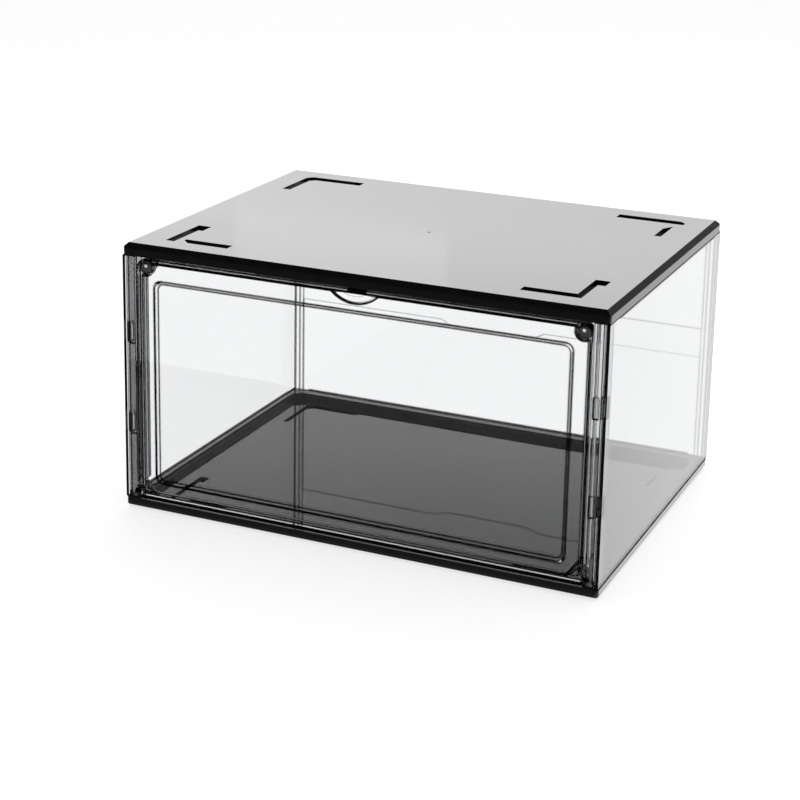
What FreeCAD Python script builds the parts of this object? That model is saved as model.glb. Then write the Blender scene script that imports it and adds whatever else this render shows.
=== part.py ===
"""Stackable display shoe box: a black base and lid, clear panels and a clear drop-front door.

X is the width, the front faces -Y and Z is up.  The origin is the centre of the footprint on
the surface that the box stands on.  Every length is in millimetres.
"""
import FreeCAD, Part
import math
import os

V = FreeCAD.Vector

# Overall size
box_width = 365.0            # over the two side panels
box_depth = 270.0            # front edge of the side panels to the outside of the back panel
body_height = 200.0          # underside of the base skirt to the top of the lid
foot_drop = 2.0              # stacking feet, below the skirt

# Clear panels
panel_wall = 2.2
panel_gap = 0.2              # between neighbouring clear pieces
tongue_wall = 1.6            # tongues of the panels, inside the base and the lid
tongue_gap = 0.3
tongue_reach = 3.6
tongue_root = 1.8            # height over which a tongue is joined to its panel
tongue_bite = 0.4            # how far the root goes into the panel
tongue_side_inset = 14.0     # from the panel's ends
band_low = 89.0              # moulded band across the back panel, above the skirt's underside
band_high = 112.0
band_rise = 0.5
band_side_inset = 3.0
band_dip_width = 90.0
band_dip_depth = 4.0
band_dip_slope = 8.0
border_width = 8.6           # thicker border down each side of the back panel
border_rise = 1.0
bead_side = 2.1              # panel's end to the bead that runs down the border
bead_width = 3.5
bead_rise = 0.8

# Base tray
skirt_wall = 2.2
skirt_round = 1.2            # lower edge
skirt_corner_round = 2.5     # upright corners
base_wall_height = 6.6       # where the panels and posts stand, above the skirt's underside
sill_height = 6.3            # low front wall under the door
base_floor = 2.5
rim_height = 7.9             # inner rim at the sides and the back
rim_round = 2.0
side_rim_inset = 10.0        # outside of the box to the rim's inner face
back_rim_inset = 13.0
channel_width = 2.6          # slot between the outer wall and the rim
front_rim_height = 7.8
front_rim_wall = 2.0
front_rim_gap = 1.0          # behind the sweep of the door's lower edge
rim_corner_cut = 6.0         # diagonal at the rim's rear inner corners

# Lid
lid_height = 9.0
lid_deck = 2.6
lid_bevel = 3.5
lid_corner_round = 3.0
lid_rib_wall = 1.5
lid_rib_height = 5.0
catch_width = 14.0           # stop behind the middle of the door's top edge
catch_wall = 1.8
catch_drop = 4.5
catch_gap = 0.4
gate_mark_radius = 1.1
gate_mark_depth = 0.4
gate_mark_y = -5.0

# Stacking feet and the grooves that they drop into
groove_depth = 2.6
groove_floor = 1.5           # material left under a groove
groove_wall = 1.4            # pad around a groove, inside the lid
foot_clearance = 0.4         # foot to groove, all round
foot_wall = 1.0
foot_sole = 1.4
rear_foot_side = 24.0        # outside of the box to a rear foot, across the width
rear_foot_back = 20.5
rear_bar_width = 9.5
rear_bar_end = 74.0
rear_arm_width = 6.8
rear_arm_end = 68.5
rear_outer_cut = 4.5
rear_inner_cut = 4.0
split_foot_side = 26.5       # the rear right foot is split in two
split_arm_width = 5.2
split_arm_start = 38.0
split_arm_end = 71.0
split_arm_cut = 9.0
split_bar_side = 21.0
front_foot_front = 20.0
front_bar_width = 8.6
left_arm_side = 24.0
left_arm_width = 7.0
left_arm_end = 68.0
left_heel_start = 55.0
left_heel_reach = 3.5
left_bar_start = 36.0
left_bar_end = 74.0
left_bar_cut = 6.0
right_arm_side = 27.0
right_arm_width = 5.3
right_arm_end = 66.5
right_heel_start = 54.5
right_heel_reach = 5.3
right_bar_end = 70.0

# Front posts
post_width = 8.8
post_depth = 10.8
post_wall = 1.9
post_recess = 0.2            # behind the front edge of the side panel
post_edge_round = 0.6
ear_reach = 13.4             # ear behind the door's upper corner, holding the strike magnet
ear_tip_drop = 7.3           # lid to the ear's free corner
ear_wall = 3.4
stop_reach = 4.0             # strip behind the door's side edge, below the ear
stop_foot = 11.0             # foot of the post to the strip
latch_width = 3.9            # shallow rectangles in the post's front face
latch_height = 15.0
latch_depth = 0.9
latch_inset = 3.8            # post's inner side to the middle of a rectangle
snap_height = 14.0           # snap tabs of the side panels, in windows of the posts
snap_width = 3.2
snap_reach = 1.3
snap_gap = 0.3
snap_setback = 5.6           # front edge of the side panel to the middle of a tab
snap_levels = (64.0, 133.0)  # middles of the tabs, above the skirt's underside

# Door
door_wall = 2.2
door_recess = 0.2
door_side_gap = 0.4
door_top_gap = 1.3
door_sill_gap = 3.0
door_top_round = 7.0
door_foot_round = 1.5
door_rim_wall = 3.1
door_rim_depth = 4.0
field_side_margin = 14.3     # door edge to the sunk field
field_top_margin = 16.6
field_foot_margin = 11.9
field_round = 5.5
field_sink = 3.3
field_slope = 1.2            # run of the field's sides, from the door's front to the sunk sheet
field_side_offset = 1.3      # rear of the sloping side to its front, across the door
scoop_width = 34.0           # crescent finger pull
scoop_height = 7.0
scoop_depth = 1.7
scoop_slope = 3.8
scoop_lip = 2.0              # strip left between the pull and the door's top edge
scoop_backing = 1.7
scoop_backing_margin = 1.5
foot_chamfer_reach = 9.0     # diagonal stiffener in the door's lower corners
foot_chamfer_wall = 1.4

# Hinge
hinge_height = 5.6           # pin centre above the base wall
hinge_setback = 2.0          # pin centre behind the front edge
pin_radius = 1.6
pin_length = 3.2
pin_gap = 0.05

# Magnets
magnet_radius = 5.0
magnet_thickness = 2.8
strike_radius = 3.5
strike_thickness = 2.0
magnet_gap = 0.1             # magnet to its pocket, all round
boss_radius = 6.3
boss_depth = 4.4             # behind the door's sheet
magnet_inset = 6.4           # boss centre from the door's side and top edges
strike_gap = 0.8             # between the closed door's boss and the strike ear

# Levels and planes that follow from the sizes above
half_width = box_width / 2
half_depth = box_depth / 2
front = -half_depth
back = half_depth
skirt_z = foot_drop
floor_z = skirt_z + base_floor
wall_z = skirt_z + base_wall_height
sill_z = skirt_z + sill_height
rim_z = skirt_z + rim_height
front_rim_z = skirt_z + front_rim_height
lid_z = skirt_z + body_height
lid_foot_z = lid_z - lid_height
deck_z = lid_z - lid_deck
panel_x = half_width - panel_wall
tongue_outer = half_width - skirt_wall - tongue_gap
tongue_inner = tongue_outer - tongue_wall
post_outer = panel_x - panel_gap
post_inner = post_outer - post_width
post_front = front + post_recess
post_back = post_front + post_depth
door_half = post_inner - door_side_gap
door_front = front + door_recess
door_back = door_front + door_wall
door_rim_back = door_back + door_rim_depth
door_foot_z = sill_z + door_sill_gap
door_top_z = lid_foot_z - door_top_gap
pin_y = front + hinge_setback
pin_z = wall_z + hinge_height
boss_back = door_back + boss_depth
ear_front = boss_back + strike_gap
magnet_x = door_half - magnet_inset
magnet_z = door_top_z - magnet_inset
sweep_radius = math.hypot(door_rim_back - pin_y, pin_z - door_foot_z)
front_rim_y = pin_y + sweep_radius + front_rim_gap
ABOVE = 5.0                  # how far a cutting shape passes the surface that it opens
TINY = 1e-6


def block(x0, x1, y0, y1, z0, z1):
    """Box between two opposite corners."""
    low = V(min(x0, x1), min(y0, y1), min(z0, z1))
    return Part.makeBox(abs(x1 - x0), abs(y1 - y0), abs(z1 - z0), low)


def upright_edges(shape):
    """Edges that run straight along Z."""
    found = []
    for edge in shape.Edges:
        a, b = edge.Vertexes[0].Point, edge.Vertexes[-1].Point
        if abs(a.x - b.x) < TINY and abs(a.y - b.y) < TINY and abs(a.z - b.z) > TINY:
            found.append(edge)
    return found


def edges_at_level(shape, z):
    """Edges that lie wholly at one height."""
    return [edge for edge in shape.Edges
            if abs(edge.BoundBox.ZMin - z) < TINY and abs(edge.BoundBox.ZMax - z) < TINY]


def plan_face(points):
    """Flat face in the XY plane with straight sides."""
    corners = [V(x, y, 0) for x, y in points]
    return Part.Face(Part.makePolygon(corners + corners[:1]))


def grown(face, distance):
    """The face with its outline moved outwards, or inwards if the distance is negative."""
    return face.makeOffset2D(distance, join=2)


def slab(face, z0, z1):
    """Solid of a plan face between two heights."""
    lifted = face.copy()
    lifted.translate(V(0, 0, z0))
    return lifted.extrude(V(0, 0, z1 - z0))


def upright_plate(points, y0, y1):
    """Solid of an outline drawn in X and Z, between two depths."""
    corners = [V(x, y0, z) for x, z in points]
    return Part.Face(Part.makePolygon(corners + corners[:1])).extrude(V(0, y1 - y0, 0))


def rod_y(x, z, radius, y0, y1):
    """Round bar along Y."""
    return Part.makeCylinder(radius, y1 - y0, V(x, y0, z), V(0, 1, 0))


def mirror_x(shape):
    """Left-hand copy of a right-hand shape."""
    return shape.mirror(V(0, 0, 0), V(1, 0, 0))


def rounded_plate(x0, x1, z0, z1, y0, y1, top_round, foot_round):
    """Plate facing the front with rounded upper and lower corners."""
    plate = block(x0, x1, y0, y1, z0, z1)
    for level, radius in ((z1, top_round), (z0, foot_round)):
        corners = []
        for edge in plate.Edges:
            box = edge.BoundBox
            at_side = abs(box.XMin - x0) < TINY or abs(box.XMax - x1) < TINY
            across = box.YLength > 0.9 * (y1 - y0) and box.XLength < TINY and box.ZLength < TINY
            if at_side and across and abs(box.ZMin - level) < TINY:
                corners.append(edge)
        plate = plate.makeFillet(radius, corners)
    return plate


# ---------------------------------------------------------------- stacking feet and grooves

def from_corner(points, side, end):
    """Plan face from distances to one side (-1 left, 1 right) and one end (-1 front, 1 back)."""
    return plan_face([(side * (half_width - a), end * (half_depth - b)) for a, b in points])


def rear_left_outline():
    """An L with its outer and inner corners cut off."""
    side, rear = rear_foot_side, rear_foot_back
    bar, arm = rear + rear_bar_width, side + rear_arm_width
    return [from_corner([
        (side, rear + rear_outer_cut), (side + rear_outer_cut, rear), (rear_bar_end, rear),
        (rear_bar_end, bar), (arm + rear_inner_cut, bar), (arm, bar + rear_inner_cut),
        (arm, rear_arm_end), (side, rear_arm_end)], -1, 1)]


def rear_right_outline():
    """A bar, and an arm apart from it with a slanting end."""
    rear, bar = rear_foot_back, rear_foot_back + rear_bar_width
    arm = split_foot_side + split_arm_width
    return [
        from_corner([
            (split_bar_side, rear + rear_outer_cut), (split_bar_side + rear_outer_cut, rear),
            (rear_bar_end, rear), (rear_bar_end, bar), (split_bar_side, bar)], 1, 1),
        from_corner([
            (split_foot_side, split_arm_start), (arm, split_arm_start + split_arm_cut),
            (arm, split_arm_end), (split_foot_side, split_arm_end)], 1, 1)]


def front_left_outline():
    """An arm with a heel on its inner side, and a bar with a slanting end."""
    start, bar = front_foot_front, front_foot_front + front_bar_width
    inner = left_arm_side + left_arm_width
    return [
        from_corner([
            (left_arm_side, start), (inner, start), (inner, left_heel_start),
            (inner + left_heel_reach, left_heel_start), (inner + left_heel_reach, left_arm_end),
            (left_arm_side, left_arm_end)], -1, -1),
        from_corner([
            (left_bar_start + left_bar_cut, start), (left_bar_end, start), (left_bar_end, bar),
            (left_bar_start, bar), (left_bar_start, start + left_bar_cut)], -1, -1)]


def front_right_outline():
    """An L with a heel on its outer side."""
    start, bar = front_foot_front, front_foot_front + front_bar_width
    inner = right_arm_side + right_arm_width
    heel = right_arm_side - right_heel_reach
    return [from_corner([
        (right_arm_side, start), (right_bar_end, start), (right_bar_end, bar), (inner, bar),
        (inner, right_arm_end), (heel, right_arm_end), (heel, right_heel_start),
        (right_arm_side, right_heel_start)], 1, -1)]


def stacking_outlines():
    """Plan outlines of the grooves, which the feet share."""
    return rear_left_outline() + rear_right_outline() + front_left_outline() + front_right_outline()


# ---------------------------------------------------------------- base and lid

def make_base_tray():
    """Floor with a low wall, an inner rim, a front sill and hollow stacking feet."""
    wall_x, wall_y = half_width - skirt_wall, half_depth - skirt_wall
    tray = block(-half_width, half_width, front, back, skirt_z, wall_z)
    tray = tray.makeFillet(skirt_corner_round, upright_edges(tray))
    tray = tray.makeFillet(skirt_round, edges_at_level(tray, skirt_z))
    tray = tray.cut(block(-wall_x, wall_x, front + skirt_wall, wall_y, floor_z, wall_z + ABOVE))
    tray = tray.cut(block(-post_inner, post_inner, front - ABOVE, front + skirt_wall,
                          sill_z, wall_z + ABOVE))

    rim_outer_x, rim_outer_y = wall_x - channel_width, wall_y - channel_width
    rim_inner_x, rim_inner_y = half_width - side_rim_inset, half_depth - back_rim_inset
    rim_start = post_back + panel_gap
    rim = block(-rim_outer_x, rim_outer_x, rim_start, rim_outer_y, skirt_z, rim_z)
    well = plan_face([
        (-rim_inner_x, rim_start - ABOVE), (rim_inner_x, rim_start - ABOVE),
        (rim_inner_x, rim_inner_y - rim_corner_cut), (rim_inner_x - rim_corner_cut, rim_inner_y),
        (-rim_inner_x + rim_corner_cut, rim_inner_y), (-rim_inner_x, rim_inner_y - rim_corner_cut)])
    rim = rim.cut(slab(well, skirt_z - ABOVE, rim_z + ABOVE))
    around_well = [edge for edge in edges_at_level(rim, rim_z)
                   if max(-edge.BoundBox.XMin, edge.BoundBox.XMax) < rim_inner_x + TINY
                   and edge.BoundBox.YMax < rim_inner_y + TINY]
    rim = rim.makeFillet(rim_round, around_well)
    tray = tray.fuse(rim)

    front_rim = block(-post_inner, post_inner, front_rim_y, front_rim_y + front_rim_wall,
                      skirt_z, front_rim_z)
    tray = tray.fuse(front_rim)
    for side in (-1, 1):
        pad = block(side * (post_inner - panel_gap), side * (wall_x + skirt_wall / 2),
                    front + skirt_wall / 2, post_back + panel_gap, skirt_z + base_floor / 2, wall_z)
        tray = tray.fuse(pad)

    for outline in stacking_outlines():
        foot = grown(outline, -foot_clearance)
        tray = tray.fuse(slab(foot, 0, floor_z - base_floor / 2))
    for outline in stacking_outlines():
        hollow = grown(outline, -foot_clearance - foot_wall)
        tray = tray.cut(slab(hollow, foot_sole, floor_z + ABOVE))
    return tray.removeSplitter()


def bevelled_bar(half_span, half_length, along_y):
    """Bar as tall as the lid with its two upper long edges bevelled."""
    shoulder_z, top_half = lid_z - lid_bevel, half_span - lid_bevel
    section = [(-half_span, lid_foot_z), (half_span, lid_foot_z), (half_span, shoulder_z),
               (top_half, lid_z), (-top_half, lid_z), (-half_span, shoulder_z)]
    bar = upright_plate(section, -half_length, half_length)
    if not along_y:
        bar.rotate(V(0, 0, 0), V(0, 0, 1), 90)
    return bar


def make_top_lid():
    """Shallow bevelled shell with stacking grooves, locating ribs and a door stop."""
    lid = block(-half_width, half_width, front, back, lid_foot_z, lid_z)
    lid = lid.makeFillet(lid_corner_round, upright_edges(lid))
    lid = lid.common(bevelled_bar(half_width, half_depth, True))
    lid = lid.common(bevelled_bar(half_depth, half_width, False))
    wall_x, wall_y = half_width - skirt_wall, half_depth - skirt_wall
    lid = lid.cut(block(-wall_x, wall_x, -wall_y, wall_y, lid_foot_z - ABOVE, deck_z))

    rib_x = tongue_inner - tongue_gap
    rib_y = rib_x - half_width + half_depth
    rib = block(-rib_x, rib_x, post_back, rib_y, deck_z - lid_rib_height, deck_z + lid_deck / 2)
    core = block(-rib_x + lid_rib_wall, rib_x - lid_rib_wall, post_back - ABOVE, rib_y - lid_rib_wall,
                 deck_z - lid_rib_height - ABOVE, deck_z + lid_deck)
    lid = lid.fuse(rib.cut(core))

    for outline in stacking_outlines():
        pad = grown(outline, groove_wall)
        lid = lid.fuse(slab(pad, lid_z - groove_depth - groove_floor, deck_z + lid_deck / 2))
    for outline in stacking_outlines():
        lid = lid.cut(slab(outline, lid_z - groove_depth, lid_z + ABOVE))

    catch_y = door_rim_back + catch_gap
    catch = block(-catch_width / 2, catch_width / 2, catch_y, catch_y + catch_wall,
                  lid_foot_z - catch_drop, deck_z + lid_deck / 2)
    lid = lid.fuse(catch)
    gate_mark = Part.makeCylinder(gate_mark_radius, ABOVE, V(0, gate_mark_y, lid_z - gate_mark_depth))
    return lid.cut(gate_mark).removeSplitter()


# ---------------------------------------------------------------- clear panels

def make_right_side_panel():
    """Sheet with tongues into the base and the lid, and snap tabs for the post."""
    panel = block(panel_x, half_width, front, back, wall_z, lid_foot_z)
    y0, y1 = post_back + tongue_side_inset - panel_wall, back - tongue_side_inset
    low_root, high_root = wall_z + tongue_root, lid_foot_z - tongue_root
    for z_tip, z_edge, z_root in ((wall_z - tongue_reach, wall_z, low_root),
                                  (lid_foot_z + tongue_reach, lid_foot_z, high_root)):
        tongue = block(tongue_inner, tongue_outer, y0, y1, z_tip, z_root)
        root = block(tongue_inner, panel_x + tongue_bite, y0, y1, z_edge, z_root)
        panel = panel.fuse(tongue).fuse(root)
    tab_y = front + snap_setback
    for level in snap_levels:
        z = skirt_z + level
        tab = block(post_outer - snap_reach, panel_x + tongue_bite, tab_y - snap_width / 2,
                    tab_y + snap_width / 2, z - snap_height / 2, z + snap_height / 2)
        panel = panel.fuse(tab)
    return panel.removeSplitter()


def make_back_panel():
    """Sheet between the side panels, with tongues and a moulded band across its inner face."""
    edge_x = panel_x - panel_gap
    inner_y = back - panel_wall
    panel = block(-edge_x, edge_x, inner_y, back, wall_z, lid_foot_z)
    depth_shift = half_depth - half_width
    y_outer, y_inner = tongue_outer + depth_shift, tongue_inner + depth_shift
    x_end = edge_x - tongue_side_inset
    for z_tip, z_edge, z_root in (
            (wall_z - tongue_reach, wall_z, wall_z + tongue_root),
            (lid_foot_z + tongue_reach, lid_foot_z, lid_foot_z - tongue_root)):
        tongue = block(-x_end, x_end, y_inner, y_outer, z_tip, z_root)
        root = block(-x_end, x_end, y_inner, inner_y + tongue_bite, z_edge, z_root)
        panel = panel.fuse(tongue).fuse(root)
    low, high = skirt_z + band_low, skirt_z + band_high
    band_x, dip_x = edge_x - band_side_inset, band_dip_width / 2
    band = upright_plate([
        (-band_x, low), (-dip_x, low), (-dip_x + band_dip_slope, low - band_dip_depth),
        (dip_x - band_dip_slope, low - band_dip_depth), (dip_x, low), (band_x, low),
        (band_x, high), (-band_x, high)], inner_y - band_rise, inner_y + tongue_bite)
    panel = panel.fuse(band)
    for side in (-1, 1):
        border = block(side * (edge_x - border_width), side * edge_x, inner_y - border_rise,
                       inner_y + tongue_bite, wall_z, lid_foot_z)
        bead = block(side * (edge_x - bead_side - bead_width), side * (edge_x - bead_side),
                     inner_y - border_rise - bead_rise, inner_y, wall_z, lid_foot_z)
        panel = panel.fuse(border).fuse(bead)
    return panel.removeSplitter()


def make_right_front_post():
    """Channel beside the door with a hinge bore, snap windows and a strike ear."""
    post = block(post_inner, post_outer, post_front, post_back, wall_z, lid_foot_z)
    front_edges = [edge for edge in upright_edges(post)
                   if abs(edge.BoundBox.YMin - post_front) < TINY]
    post = post.makeFillet(post_edge_round, front_edges)
    post = post.cut(block(post_inner + post_wall, post_outer - post_wall, post_front + post_wall,
                          post_back + ABOVE, wall_z - ABOVE, lid_foot_z + ABOVE))

    ear_x, stop_x, root_x = post_inner - ear_reach, post_inner - stop_reach, post_inner + post_wall / 2
    tip_z = lid_foot_z - ear_tip_drop
    ear = upright_plate([
        (ear_x, lid_foot_z), (ear_x, tip_z), (stop_x, tip_z - stop_x + ear_x),
        (stop_x, wall_z + stop_foot + stop_reach), (post_inner, wall_z + stop_foot),
        (root_x, wall_z + stop_foot), (root_x, lid_foot_z)], ear_front, ear_front + ear_wall)
    post = post.fuse(ear)
    post = post.cut(rod_y(magnet_x, magnet_z, strike_radius + magnet_gap,
                          ear_front - ABOVE, ear_front + magnet_gap + strike_thickness))

    bore = Part.makeCylinder(pin_radius + pin_gap, post_wall + 2 * ABOVE,
                             V(post_inner - ABOVE, pin_y, pin_z), V(1, 0, 0))
    keep = block(post_inner - ABOVE, post_inner + 2 * post_wall, post_front - ABOVE, post_back + ABOVE,
                 wall_z, lid_foot_z)
    post = post.cut(bore.common(keep))

    tab_y = front + snap_setback
    for level in snap_levels:
        z = skirt_z + level
        post = post.cut(block(
            post_outer - 2 * post_wall, post_outer + ABOVE, tab_y - snap_width / 2 - snap_gap,
            tab_y + snap_width / 2 + snap_gap, z - snap_height / 2 - snap_gap,
            z + snap_height / 2 + snap_gap))
        post = post.cut(block(
            post_inner + latch_inset - latch_width / 2, post_inner + latch_inset + latch_width / 2,
            post_front - ABOVE, post_front + latch_depth, z - latch_height / 2, z + latch_height / 2))
    return post.removeSplitter()


# ---------------------------------------------------------------- door

def sloping_plug(half_x, z0, z1, y0, y1, slope, radius):
    """Rounded rectangle facing the front that gets smaller all round towards the back."""
    outlines = []
    for y, shrink in ((y0, 0.0), (y1, slope)):
        plate = rounded_plate(-half_x + shrink, half_x - shrink, z0 + shrink, z1 - shrink, y, y + 1,
                              radius - shrink / 2, radius - shrink / 2)
        front_face = min(plate.Faces, key=lambda face: face.CenterOfMass.y)
        outlines.append(front_face.OuterWire)
    return Part.makeLoft(outlines, True, True)


def below_level(disc, level):
    """Part of an upright disc that lies below a level."""
    return disc.common(block(-door_half, door_half, front, door_rim_back, door_foot_z, level))


def make_door_panel():
    """Sheet with a rim behind it, a sunk field, a finger pull, magnet bosses and hinge pins."""
    sheet = rounded_plate(-door_half, door_half, door_foot_z, door_top_z, door_front, door_rim_back,
                          door_top_round, door_foot_round)
    inner_half = door_half - door_rim_wall
    well = rounded_plate(-inner_half, inner_half, door_foot_z + door_rim_wall,
                         door_top_z - door_rim_wall, door_back, door_rim_back + ABOVE,
                         door_top_round - door_rim_wall, door_foot_round)
    door = sheet.cut(well)

    for side in (-1, 1):
        boss = rod_y(side * magnet_x, magnet_z, boss_radius, door_front + door_wall / 2, boss_back)
        door = door.fuse(boss)
        corner_x = side * inner_half
        reach_x = side * (inner_half - foot_chamfer_reach)
        low = door_foot_z + door_rim_wall
        step = foot_chamfer_wall * math.sqrt(2)
        web = upright_plate([
            (corner_x, low + foot_chamfer_reach), (reach_x, low),
            (side * (inner_half - foot_chamfer_reach + step), low),
            (corner_x, low + foot_chamfer_reach - step)], door_back - door_wall / 2, door_rim_back)
        door = door.fuse(web)

    field_x = door_half - field_side_margin
    field_low, field_high = door_foot_z + field_foot_margin, door_top_z - field_top_margin
    sunk_front, sunk_back = door_front + field_sink, door_back + field_sink
    door = door.fuse(sloping_plug(field_x + field_side_offset, field_low - field_side_offset,
                                  field_high + field_side_offset, door_back, sunk_back, field_slope,
                                  field_round))
    door = door.cut(sloping_plug(field_x, field_low, field_high, door_front, sunk_front, field_slope,
                                 field_round))

    lens_radius = (scoop_width ** 2 / 4 + scoop_height ** 2) / (2 * scoop_height)
    lens_top = door_top_z - scoop_lip
    lens_z = lens_top - scoop_height + lens_radius
    pad = rod_y(0, lens_z, lens_radius + scoop_backing_margin, door_back - door_wall / 2,
                door_back + scoop_backing)
    door = door.fuse(below_level(pad, lens_top + scoop_lip / 2))
    hollow = Part.makeCone(lens_radius, lens_radius - scoop_slope, scoop_depth,
                           V(0, door_front, lens_z), V(0, 1, 0))
    door = door.cut(below_level(hollow, lens_top))

    for side in (-1, 1):
        door = door.cut(rod_y(side * magnet_x, magnet_z, magnet_radius + magnet_gap,
                              boss_back - magnet_thickness - magnet_gap, boss_back + ABOVE))
        pin_root = door_half - door_rim_wall
        pin = Part.makeCylinder(pin_radius, door_rim_wall + pin_length,
                                V(side * pin_root, pin_y, pin_z), V(side, 0, 0))
        door = door.fuse(pin)
    return door.removeSplitter()


def make_right_door_magnet():
    """Disc magnet in the door's boss, flush with the boss's rear face."""
    disc = rod_y(magnet_x, magnet_z, magnet_radius, boss_back - magnet_thickness, boss_back)
    return disc


def make_right_strike_magnet():
    """Disc magnet in the post's ear, facing the door's magnet."""
    disc = rod_y(magnet_x, magnet_z, strike_radius, ear_front, ear_front + strike_thickness)
    return disc


def save(name, shape):
    """Write one piece and report what it is."""
    solid = shape.Solids[0] if len(shape.Solids) == 1 else shape
    solid.exportStep(os.path.join("parts", name + ".step"))
    print(name, "solids", len(shape.Solids), "valid", shape.isValid(), "cm3", round(shape.Volume / 1000, 2))


def main():
    os.makedirs("parts", exist_ok=True)
    save("base_tray", make_base_tray())
    save("top_lid", make_top_lid())
    save("back_panel", make_back_panel())
    save("door_panel", make_door_panel())
    handed = (("side_panel", make_right_side_panel), ("front_post", make_right_front_post),
              ("door_magnet", make_right_door_magnet), ("strike_magnet", make_right_strike_magnet))
    for name, make in handed:
        right = make()
        save("right_" + name, right)
        save("left_" + name, mirror_x(right))


main()
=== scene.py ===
import bpy
import math
from mathutils import Matrix, Vector

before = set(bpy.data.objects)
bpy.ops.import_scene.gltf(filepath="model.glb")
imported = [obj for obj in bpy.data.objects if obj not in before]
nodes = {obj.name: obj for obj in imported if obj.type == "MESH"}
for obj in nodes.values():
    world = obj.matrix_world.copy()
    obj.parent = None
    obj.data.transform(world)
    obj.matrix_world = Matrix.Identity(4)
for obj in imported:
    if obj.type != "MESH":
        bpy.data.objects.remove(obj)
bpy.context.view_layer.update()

MM = 0.001

# ---------------------------------------------------------------- named values
GLOSS_BLACK = (0.004, 0.004, 0.0045, 1.0)
GLOSS_BLACK_SPECK = (0.0064, 0.0064, 0.0072, 1.0)
# near-black for the hollow feet's floors: matte, and painted shade in the recesses
RECESS_MATTE_SHADE = (0.002, 0.002, 0.002, 1.0)
# black of the painted shade lines along edges and in the gaps where parts meet
PAINTED_SHADE_BLACK = (0.0, 0.0, 0.0, 1.0)
WHITE = (1.0, 1.0, 1.0, 1.0)
CLEAR_TINT = (0.96, 0.965, 0.967, 1.0)
# the slant, left, right and post tints are darker copies of the clear tint: painted shade
SLANT_SHADE_TINT = (0.7, 0.705, 0.71, 1.0)
LEFT_SHADED_TINT = (0.95, 0.953, 0.955, 1.0)
RIGHT_SHADED_TINT = (0.85, 0.854, 0.857, 1.0)
POST_SHADED_TINT = (0.72, 0.725, 0.73, 1.0)
LEFT_POST_SHADED_TINT = (0.45, 0.453, 0.456, 1.0)
SHADOW_TINT = (0.93, 0.935, 0.94, 1.0)
# near-black nickel stands in for the dark surroundings the plate reflects: painted reflection; the bright
# colour is a painted highlight
NICKEL_PAINTED_REFLECTION = (0.035, 0.035, 0.036, 1.0)
NICKEL_PAINTED_HIGHLIGHT = (0.75, 0.75, 0.76, 1.0)

PLASTIC_IOR = 1.5
CLEAR_IOR = 1.5
RIGHT_IOR = 1.42
SIDE_IOR = 1.25

# roughness of the two gloss blacks, from the smoothest spots to the roughest
LID_POLISH = (0.1, 0.14)
BASE_POLISH = (0.015, 0.03)

# how far from an edge the painted shade line of a clear piece reaches
RIGHT_REACH = 1.2 * MM
LEFT_REACH = 0.05 * MM
BACK_REACH = 2.0 * MM
POST_REACH = 1.4 * MM
DOOR_REACH = 2.2 * MM

# rounding of the edges that the solids leave sharp
LID_ROUND = 0.25 * MM
BASE_ROUND = 0.5 * MM
SHEET_ROUND = 0.3 * MM
DOOR_ROUND = 0.45 * MM

# heights of the hollow feet's floors and of the thin painted shadow lines in the gaps where parts meet
RECESS_LEVEL = 1.4 * MM
FOOT_JOINT_SHADOW = (7.4 * MM, 9.1 * MM)
LID_JOINT_SHADOW = (192.3 * MM, 193.2 * MM)
RIM_SHADOW_LINE = (188.3 * MM, 188.8 * MM)
LINE_SOFTNESS = 0.12 * MM
SIDE_FACE = 182.5 * MM

FILL_STRENGTH = 0.55
FLOOR_LIFT = 0.72
FLOOR_FRONT = -0.75
FLOOR_BACK = 3.0
FLOOR_SIDE = 2.0

VIEW_AZIMUTH = 23.77
VIEW_ELEVATION = 14.48
VIEW_ROLL = 1.11
VIEW_PLACE = (0.5341, -1.2709, 0.5608)
VIEW_LENS = 86.82
VIEW_SHIFT = -0.2171


# ---------------------------------------------------------------- node helpers
def new_material(name):
    material = bpy.data.materials.new(name)
    material.use_nodes = True
    tree = material.node_tree
    tree.nodes.clear()
    return material, tree


def node(tree, kind, **settings):
    made = tree.nodes.new(kind)
    for key, value in settings.items():
        setattr(made, key, value)
    return made


def link(tree, source, target):
    tree.links.new(source, target)


def finish_tree(tree, surface, kind="ShaderNodeOutputMaterial"):
    output = node(tree, kind)
    link(tree, surface, output.inputs["Surface"])


def noise(tree, scale, detail, stretch=None):
    place = node(tree, "ShaderNodeTexCoord")
    source = place.outputs["Object"]
    if stretch is not None:
        mapping = node(tree, "ShaderNodeMapping")
        mapping.inputs["Scale"].default_value = stretch
        link(tree, source, mapping.inputs["Vector"])
        source = mapping.outputs["Vector"]
    made = node(tree, "ShaderNodeTexNoise")
    made.inputs["Scale"].default_value = scale
    made.inputs["Detail"].default_value = detail
    link(tree, source, made.inputs["Vector"])
    return made.outputs["Fac"]


def spread(tree, value, low, high, from_low=0.3, from_high=0.7):
    made = node(tree, "ShaderNodeMapRange")
    made.inputs["From Min"].default_value = from_low
    made.inputs["From Max"].default_value = from_high
    made.inputs["To Min"].default_value = low
    made.inputs["To Max"].default_value = high
    link(tree, value, made.inputs["Value"])
    return made.outputs["Result"]


def combined(tree, operation, first, second):
    made = node(tree, "ShaderNodeMath", operation=operation)
    link(tree, first, made.inputs[0])
    link(tree, second, made.inputs[1])
    return made.outputs["Value"]


def coordinate_parts(tree, kind):
    place = node(tree, "ShaderNodeTexCoord")
    parts = node(tree, "ShaderNodeSeparateXYZ")
    link(tree, place.outputs[kind], parts.inputs["Vector"])
    return parts.outputs


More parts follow.
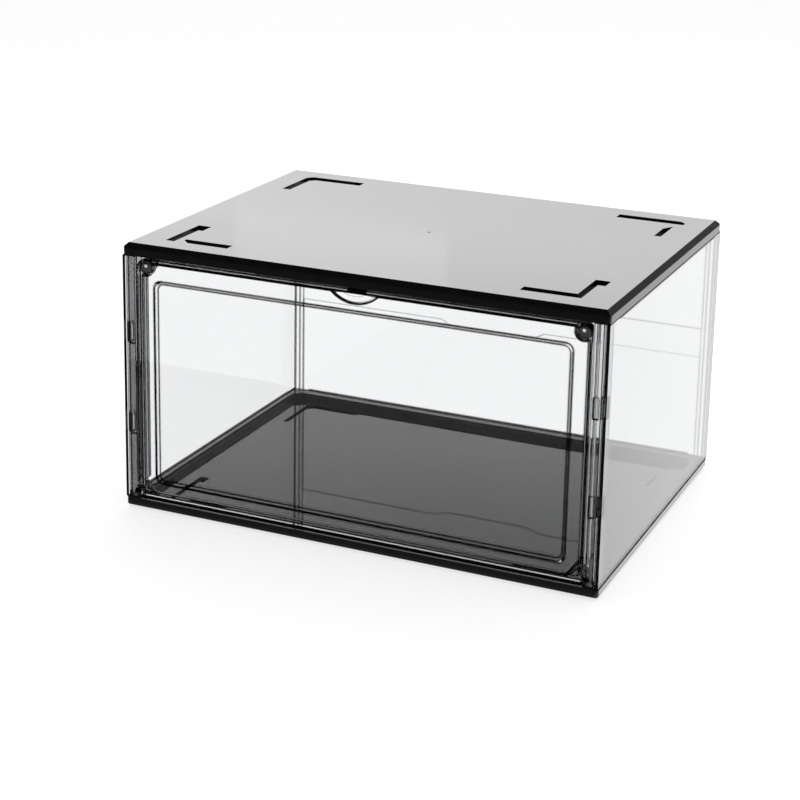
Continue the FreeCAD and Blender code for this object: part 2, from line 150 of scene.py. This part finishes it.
def colour_sockets(mix):
    first = [s for s in mix.inputs if s.name == "A" and s.type == "RGBA"][0]
    second = [s for s in mix.inputs if s.name == "B" and s.type == "RGBA"][0]
    result = [s for s in mix.outputs if s.type == "RGBA"][0]
    return first, second, result


def two_colours(tree, value, low, high):
    mix = node(tree, "ShaderNodeMix", data_type="RGBA")
    first, second, result = colour_sockets(mix)
    first.default_value = low
    second.default_value = high
    link(tree, value, mix.inputs["Factor"])
    return result


def bump(tree, height, strength, distance):
    made = node(tree, "ShaderNodeBump")
    made.inputs["Strength"].default_value = strength
    made.inputs["Distance"].default_value = distance
    link(tree, height, made.inputs["Height"])
    return made.outputs["Normal"]


def blended(tree, share, first, second):
    made = node(tree, "ShaderNodeMixShader")
    link(tree, share, made.inputs[0])
    link(tree, first, made.inputs[1])
    link(tree, second, made.inputs[2])
    return made.outputs["Shader"]


def by_ray(tree, surface, choices):
    path = node(tree, "ShaderNodeLightPath")
    for ray, chosen in choices:
        surface = blended(tree, path.outputs[ray], surface, chosen)
    return surface


def glow(tree, kind, strength, colour=None):
    made = node(tree, kind)
    made.inputs["Color"].default_value = WHITE
    made.inputs["Strength"].default_value = strength
    if colour is not None:
        link(tree, colour, made.inputs["Color"])
    return made.outputs[0]


# mask of nearness to an edge, for the painted shade lines along the clear pieces' edges
def edge_shade_mask(tree, reach):
    rounded = node(tree, "ShaderNodeBevel", samples=8)
    rounded.inputs["Radius"].default_value = reach
    place = node(tree, "ShaderNodeNewGeometry")
    facing = node(tree, "ShaderNodeVectorMath", operation="DOT_PRODUCT")
    link(tree, rounded.outputs["Normal"], facing.inputs[0])
    link(tree, place.outputs["Normal"], facing.inputs[1])
    return spread(tree, facing.outputs["Value"], 1.0, 0.0, 0.955, 0.992)


def band(tree, value, low, high):
    above = spread(tree, value, 0.0, 1.0, low - LINE_SOFTNESS, low + LINE_SOFTNESS)
    below = spread(tree, value, 1.0, 0.0, high - LINE_SOFTNESS, high + LINE_SOFTNESS)
    return combined(tree, "MULTIPLY", above, below)


def object_height(tree):
    return coordinate_parts(tree, "Object")["Z"]


def at_the_sides(tree):
    out = node(tree, "ShaderNodeMath", operation="ABSOLUTE")
    link(tree, coordinate_parts(tree, "Object")["X"], out.inputs[0])
    return spread(tree, out.outputs["Value"], 0.0, 1.0, SIDE_FACE - 0.6 * MM, SIDE_FACE - 0.2 * MM)


# mixes in flat black where the mask is high: painted shade
def painted_shade(tree, amount, shader):
    black = node(tree, "ShaderNodeBsdfDiffuse")
    black.inputs["Color"].default_value = PAINTED_SHADE_BLACK
    return blended(tree, amount, shader, black.outputs["BSDF"])


# ---------------------------------------------------------------- materials
def gloss_black(name, polish, joint_shadow=None):
    material, tree = new_material(name)
    shader = node(tree, "ShaderNodeBsdfPrincipled")
    shader.inputs["IOR"].default_value = PLASTIC_IOR
    speck = spread(tree, noise(tree, 90.0, 4.0), 0.0, 1.0)
    link(tree, two_colours(tree, speck, GLOSS_BLACK, GLOSS_BLACK_SPECK), shader.inputs["Base Color"])
    smooth, rough = polish
    link(tree, spread(tree, noise(tree, 14.0, 3.0), smooth, rough), shader.inputs["Roughness"])
    ripple = noise(tree, 22.0, 2.0)
    link(tree, bump(tree, ripple, 0.01, 0.0004), shader.inputs["Normal"])
    surface = shader.outputs["BSDF"]
    # painted shadow: a black band along the base's side faces at the gap under the side panels
    if joint_shadow is not None:
        low, high = joint_shadow
        line = band(tree, object_height(tree), low, high)
        side_joint_shadow = combined(tree, "MULTIPLY", line, at_the_sides(tree))
        surface = painted_shade(tree, side_joint_shadow, surface)
    finish_tree(tree, surface)
    return material


def clear_plastic(name, tint_and_shade, slant_shade_tint, ior, edge_reach, lines=()):
    material, tree = new_material(name)
    shader = node(tree, "ShaderNodeBsdfPrincipled")
    shader.inputs["IOR"].default_value = ior
    shader.inputs["Transmission Weight"].default_value = 1.0
    # darker where the surface is seen at a slant: painted shade
    slant = node(tree, "ShaderNodeLayerWeight")
    slant.inputs["Blend"].default_value = 0.5
    steep = spread(tree, slant.outputs["Facing"], 0.0, 1.0, 0.55, 0.72)
    haze = spread(tree, noise(tree, 8.0, 2.0), -0.02, 0.02)
    share = combined(tree, "ADD", steep, haze)
    link(tree, two_colours(tree, share, tint_and_shade, slant_shade_tint), shader.inputs["Base Color"])
    link(tree, spread(tree, noise(tree, 30.0, 3.0), 0.0, 0.015), shader.inputs["Roughness"])
    flow = noise(tree, 16.0, 1.0, (1.0, 1.0, 0.35))
    link(tree, bump(tree, flow, 0.02, 0.0006), shader.inputs["Normal"])
    # painted shade: black along the edges, standing in for the dark look that refraction gives there
    dark = edge_shade_mask(tree, edge_reach)
    # painted shadow: black bands at the heights of the gaps where parts meet
    for low, high in lines:
        dark = combined(tree, "MAXIMUM", dark, band(tree, object_height(tree), low, high))
    surface = painted_shade(tree, dark, shader.outputs["BSDF"])
    through = node(tree, "ShaderNodeBsdfTransparent")
    through.inputs["Color"].default_value = SHADOW_TINT
    finish_tree(tree, by_ray(tree, surface, (("Is Shadow Ray", through.outputs["BSDF"]),)))
    return material


# matte finish whose very low reflection paints the recess floors dark: painted shade
def recess_matte_and_shade():
    material, tree = new_material("recess_matte_painted_shade")
    shader = node(tree, "ShaderNodeBsdfPrincipled")
    shader.inputs["IOR"].default_value = PLASTIC_IOR
    shader.inputs["Specular IOR Level"].default_value = 0.08
    shader.inputs["Base Color"].default_value = RECESS_MATTE_SHADE
    link(tree, spread(tree, noise(tree, 900.0, 3.0), 0.55, 0.75), shader.inputs["Roughness"])
    link(tree, bump(tree, noise(tree, 1800.0, 2.0), 0.3, 0.0001), shader.inputs["Normal"])
    finish_tree(tree, shader.outputs["BSDF"])
    return material


def nickel_with_painted_light():
    material, tree = new_material("magnet_nickel_painted_light")
    shader = node(tree, "ShaderNodeBsdfPrincipled")
    shader.inputs["Metallic"].default_value = 1.0
    parts = coordinate_parts(tree, "Generated")
    flat = node(tree, "ShaderNodeCombineXYZ")
    link(tree, parts["X"], flat.inputs["X"])
    link(tree, parts["Z"], flat.inputs["Y"])
    away = node(tree, "ShaderNodeVectorMath", operation="DISTANCE")
    link(tree, flat.outputs["Vector"], away.inputs[0])
    away.inputs[1].default_value = (0.46, 0.56, 0.0)
    # painted highlight: a bright spot near the middle of each magnet face
    painted_highlight = spread(tree, away.outputs["Value"], 1.0, 0.0, 0.05, 0.15)
    link(tree, two_colours(tree, painted_highlight, NICKEL_PAINTED_REFLECTION, NICKEL_PAINTED_HIGHLIGHT), shader.inputs["Base Color"])
    link(tree, spread(tree, noise(tree, 700.0, 3.0), 0.16, 0.3), shader.inputs["Roughness"])
    link(tree, bump(tree, noise(tree, 2500.0, 2.0), 0.15, 0.0001), shader.inputs["Normal"])
    finish_tree(tree, shader.outputs["BSDF"])
    return material


# ---------------------------------------------------------------- finish of the frame's nodes
def finish_node(name, material, edge, other=None, chosen=None):
    thing = nodes[name]
    thing.data.materials.clear()
    thing.data.materials.append(material)
    if other is not None:
        thing.data.materials.append(other)
        for face in thing.data.polygons:
            face.material_index = 1 if chosen(face) else 0
    weld = thing.modifiers.new("weld", "WELD")
    weld.merge_threshold = 0.001 * MM
    if edge > 0.0:
        rounding = thing.modifiers.new("edge rounding", "BEVEL")
        rounding.width = edge
        rounding.segments = 2
        rounding.limit_method = "ANGLE"
        rounding.angle_limit = math.radians(40.0)
        rounding.use_clamp_overlap = True
        rounding.harden_normals = True
        rounding.miter_outer = "MITER_ARC"


def recess_floor(face):
    return abs(face.center.z - RECESS_LEVEL) < 0.1 * MM and face.normal.z > 0.9


# ---------------------------------------------------------------- studio
def studio_world():
    world = bpy.data.worlds.new("studio")
    bpy.context.scene.world = world
    world.use_nodes = True
    tree = world.node_tree
    tree.nodes.clear()
    parts = coordinate_parts(tree, "Generated")
    behind = spread(tree, parts["Y"], 0.02, 1.0, -0.05, 0.35)
    above = spread(tree, parts["Z"], 1.0, 0.22, 0.05, 0.18)
    horizon = spread(tree, parts["Z"], 1.0, 0.05, 0.36, 0.55)
    fill = glow(tree, "ShaderNodeBackground", FILL_STRENGTH)
    mirrored = glow(tree, "ShaderNodeBackground", 1.0, combined(tree, "MULTIPLY", behind, above))
    through = glow(tree, "ShaderNodeBackground", 1.0, horizon)
    page = glow(tree, "ShaderNodeBackground", 1.0)
    choices = (
        ("Is Glossy Ray", mirrored),
        ("Is Transmission Ray", through),
        ("Is Camera Ray", page),
    )
    finish_tree(tree, by_ray(tree, fill, choices), "ShaderNodeOutputWorld")


def floor_material():
    material, tree = new_material("studio_floor")
    depth = coordinate_parts(tree, "Object")["Y"]
    behind = spread(tree, depth, 0.15, 1.0, -0.147, -0.12)
    paper = node(tree, "ShaderNodeBsdfDiffuse")
    link(tree, spread(tree, noise(tree, 300.0, 3.0), 0.44, 0.46), paper.inputs["Color"])
    lifted = node(tree, "ShaderNodeAddShader")
    link(tree, paper.outputs["BSDF"], lifted.inputs[0])
    link(tree, glow(tree, "ShaderNodeEmission", FLOOR_LIFT), lifted.inputs[1])
    choices = (
        ("Is Camera Ray", lifted.outputs["Shader"]),
        ("Is Glossy Ray", glow(tree, "ShaderNodeEmission", 1.0, behind)),
        ("Is Transmission Ray", glow(tree, "ShaderNodeEmission", 1.0)),
    )
    finish_tree(tree, by_ray(tree, paper.outputs["BSDF"], choices))
    return material


def studio_floor():
    corners = [
        (-FLOOR_SIDE, FLOOR_FRONT, 0.0),
        (FLOOR_SIDE, FLOOR_FRONT, 0.0),
        (FLOOR_SIDE, FLOOR_BACK, 0.0),
        (-FLOOR_SIDE, FLOOR_BACK, 0.0),
    ]
    mesh = bpy.data.meshes.new("floor")
    mesh.from_pydata(corners, [], [(0, 1, 2, 3)])
    thing = bpy.data.objects.new("floor", mesh)
    bpy.context.scene.collection.objects.link(thing)
    thing.data.materials.append(floor_material())


def softbox(name, place, aim, width, height, radiance):
    light = bpy.data.lights.new(name, "AREA")
    light.shape = "RECTANGLE"
    light.size = width
    light.size_y = height
    light.energy = radiance * math.pi * width * height
    thing = bpy.data.objects.new(name, light)
    bpy.context.scene.collection.objects.link(thing)
    thing.location = place
    toward = Vector(aim) - Vector(place)
    thing.rotation_euler = toward.to_track_quat("-Z", "Y").to_euler()
    thing.visible_camera = False
    thing.visible_transmission = False


def studio_lights():
    softbox("overhead", (0.35, 0.55, 1.5), (0.1, 0.25, 0.0), 1.6, 1.2, 1.3)
    softbox("rear_card", (-0.3, 0.35, 0.545), (-0.3, -0.2, 0.53), 1.0, 0.6, 1.1)
    softbox("far_card", (-0.6, 1.5, 0.7), (-0.1, 0.0, 0.1), 1.7, 0.7, 0.75)
    softbox("upper_card", (-0.6, 1.5, 0.9), (-0.6, 0.0, 0.9), 1.7, 0.6, 0.3)
    softbox("front_card", (-0.74, 1.5, 0.97), (-0.74, 0.0, 0.97), 0.6, 0.4, 0.85)
    softbox("lid_card", (-0.22, 0.3, 0.38), (-0.22, 0.0, 0.38), 0.22, 0.18, 0.2)
    softbox("floor_card", (0.55, 0.45, 0.003), (0.55, 0.45, 1.0), 0.73, 1.2, 0.4)
    softbox("side_strip", (0.1854, 0.0, 0.0005), (0.1854, 0.0, 1.0), 0.0054, 0.3, 0.9)


def studio_camera():
    data = bpy.data.cameras.new("view")
    data.sensor_width = 36.0
    data.lens = VIEW_LENS
    data.shift_y = VIEW_SHIFT
    data.clip_start = 0.01
    data.clip_end = 50.0
    camera = bpy.data.objects.new("view", data)
    bpy.context.scene.collection.objects.link(camera)
    azimuth = math.radians(VIEW_AZIMUTH)
    elevation = math.radians(VIEW_ELEVATION)
    roll = math.radians(VIEW_ROLL)
    back = Vector((
        math.sin(azimuth) * math.cos(elevation),
        -math.cos(azimuth) * math.cos(elevation),
        math.sin(elevation),
    ))
    right = Vector((math.cos(azimuth), math.sin(azimuth), 0.0))
    up = back.cross(right)
    across = math.cos(roll) * right + math.sin(roll) * up
    upward = -math.sin(roll) * right + math.cos(roll) * up
    turn = Matrix((across, upward, back)).transposed().to_4x4()
    camera.matrix_world = Matrix.Translation(VIEW_PLACE) @ turn
    bpy.context.scene.camera = camera


# ---------------------------------------------------------------- assembly
studio_camera()

lid_finish = gloss_black("lid_gloss_black", LID_POLISH)
base_finish = gloss_black("base_gloss_black", BASE_POLISH, FOOT_JOINT_SHADOW)
# painted shadow lines at the gaps above the base and under the lid, and at the door's top
joint_shadows = (FOOT_JOINT_SHADOW, LID_JOINT_SHADOW)
rim_shadow_line = (RIM_SHADOW_LINE,)
# each clear piece gets its own shaded copy of the clear tint: painted shade
right_finish = clear_plastic("right_panel_clear", RIGHT_SHADED_TINT, SLANT_SHADE_TINT, RIGHT_IOR, RIGHT_REACH, joint_shadows)
left_finish = clear_plastic("left_panel_clear", LEFT_SHADED_TINT, SLANT_SHADE_TINT, SIDE_IOR, LEFT_REACH, joint_shadows)
back_finish = clear_plastic("back_panel_clear", CLEAR_TINT, SLANT_SHADE_TINT, SIDE_IOR, BACK_REACH)
right_post_finish = clear_plastic("right_post_clear", POST_SHADED_TINT, POST_SHADED_TINT, CLEAR_IOR, POST_REACH)
left_post_finish = clear_plastic("left_post_clear", LEFT_POST_SHADED_TINT, LEFT_POST_SHADED_TINT, CLEAR_IOR, POST_REACH)
door_finish = clear_plastic("door_clear", CLEAR_TINT, SLANT_SHADE_TINT, SIDE_IOR, DOOR_REACH, rim_shadow_line)
magnet_finish = nickel_with_painted_light()

finish_node("top_lid", lid_finish, LID_ROUND)
finish_node("base_tray", base_finish, BASE_ROUND, recess_matte_and_shade(), recess_floor)
finish_node("left_side_panel", left_finish, SHEET_ROUND)
finish_node("right_side_panel", right_finish, SHEET_ROUND)
finish_node("back_panel", back_finish, SHEET_ROUND)
finish_node("left_front_post", left_post_finish, SHEET_ROUND)
finish_node("right_front_post", right_post_finish, SHEET_ROUND)
finish_node("door_panel", door_finish, DOOR_ROUND)
for name in ("left_door_magnet", "right_door_magnet", "left_strike_magnet", "right_strike_magnet"):
    finish_node(name, magnet_finish, 0.0)

studio_world()
studio_floor()
studio_lights()
bpy.context.scene.view_settings.view_transform = "Standard"
